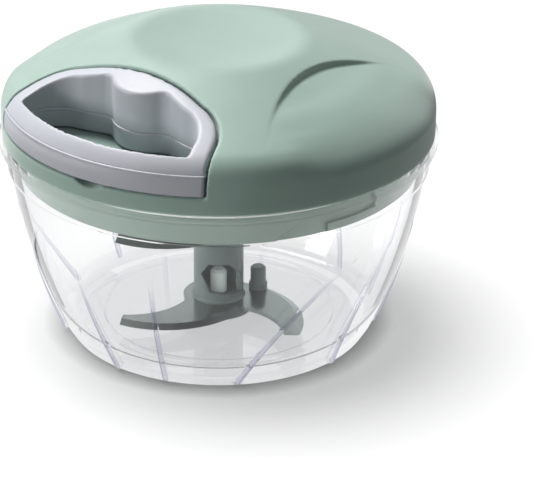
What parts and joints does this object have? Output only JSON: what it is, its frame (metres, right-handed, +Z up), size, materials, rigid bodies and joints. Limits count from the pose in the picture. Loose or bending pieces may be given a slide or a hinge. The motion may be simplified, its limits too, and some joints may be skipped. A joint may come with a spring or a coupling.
{
  "type": "pull-string food chopper",
  "caption": "Clear round bowl with curved ribs, a domed lid whose ring handle pulls a cord to spin a column of steel blades.",
  "frame": {"origin": "middle of the bowl's foot, on the ground", "axes": "+Z up along the column; the handle leaves the lid towards -Y"},
  "size_m": [0.1318, 0.1318, 0.092],
  "materials": {
    "clear_bowl": "clear, polished",
    "lid_paint": "soft touch",
    "handle_shell": "satin",
    "base_plastic": "satin",
    "seal_rubber": "matte",
    "column_plastic": "satin",
    "blade_steel": "brushed",
    "bare_steel": "bright",
    "spring_steel": "oiled",
    "gear_plastic": "self-coloured",
    "cord_fibre": "braided"
  },
  "bodies": {
    "bowl": {"bowl": "clear_bowl"},
    "seal": {"seal_ring": "seal_rubber"},
    "lid": {"lid_cover": "lid_paint", "lid_base": "base_plastic", "lid_screws": "bare_steel", "reel_axle": "bare_steel", "axle_clip": "spring_steel", "cord_eyelet": "gear_plastic", "cord_lead": "cord_fibre", "cord_stretch": "cord_fibre"},
    "handle": {"handle_upper_shell": "handle_shell", "handle_lower_shell": "handle_shell", "cord_stop": "bare_steel"},
    "reel": {"cord_reel": "gear_plastic", "spring_cover": "gear_plastic", "power_spring": "spring_steel", "cord_winding": "cord_fibre"},
    "drive": {"drive_spindle": "gear_plastic"},
    "pawl_a": {"drive_pawl_a": "gear_plastic"},
    "pawl_b": {"drive_pawl_b": "gear_plastic"},
    "blades": {"blade_column": "column_plastic", "lower_blade": "blade_steel", "upper_blade": "blade_steel"}
  },
  "joints": [
    {"name": "lid_lift", "type": "slide", "parent": "bowl", "child": "seal", "axis": [0, 0, 1], "range_m": [0, 0.1]},
    {"name": "lid_twist", "type": "hinge", "parent": "seal", "child": "lid", "pos_m": [0, 0, 0.06], "axis": [0, 0, 1], "range_deg": [0, 20]},
    {"name": "handle_pull", "type": "slide", "parent": "lid", "child": "handle", "axis": [0, -1, 0], "range_m": [0, 0.3], "stiffness_N_per_m": 30, "springref_m": -0.08, "deforming": ["cord_winding"]},
    {"name": "reel_spin", "type": "hinge", "parent": "lid", "child": "reel", "pos_m": [0, 0, 0.07], "axis": [0, 0, 1], "range_deg": [0, 820]},
    {"name": "drive_spin", "type": "hinge", "parent": "lid", "child": "drive", "pos_m": [0, 0, 0.06], "axis": [0, 0, 1], "range_deg": [0, 820]},
    {"name": "pawl_a_swing", "type": "hinge", "parent": "drive", "child": "pawl_a", "pos_m": [0.00703, 0.00156, 0.0645], "axis": [0, 0, 1], "range_deg": [-14, 0]},
    {"name": "pawl_b_swing", "type": "hinge", "parent": "drive", "child": "pawl_b", "pos_m": [-0.00703, -0.00156, 0.0645], "axis": [0, 0, 1], "range_deg": [-14, 0]},
    {"name": "blade_spin", "type": "hinge", "parent": "bowl", "child": "blades", "pos_m": [0, 0, 0.02], "axis": [0, 0, 1], "range_deg": [0, 820]}
  ],
  "couplings": [
    {"joint": "reel_spin", "follows": "handle_pull", "rad_per_m": 47.619},
    {"joint": "drive_spin", "follows": "handle_pull", "rad_per_m": 47.619},
    {"joint": "blade_spin", "follows": "handle_pull", "rad_per_m": 47.619}
  ]
}
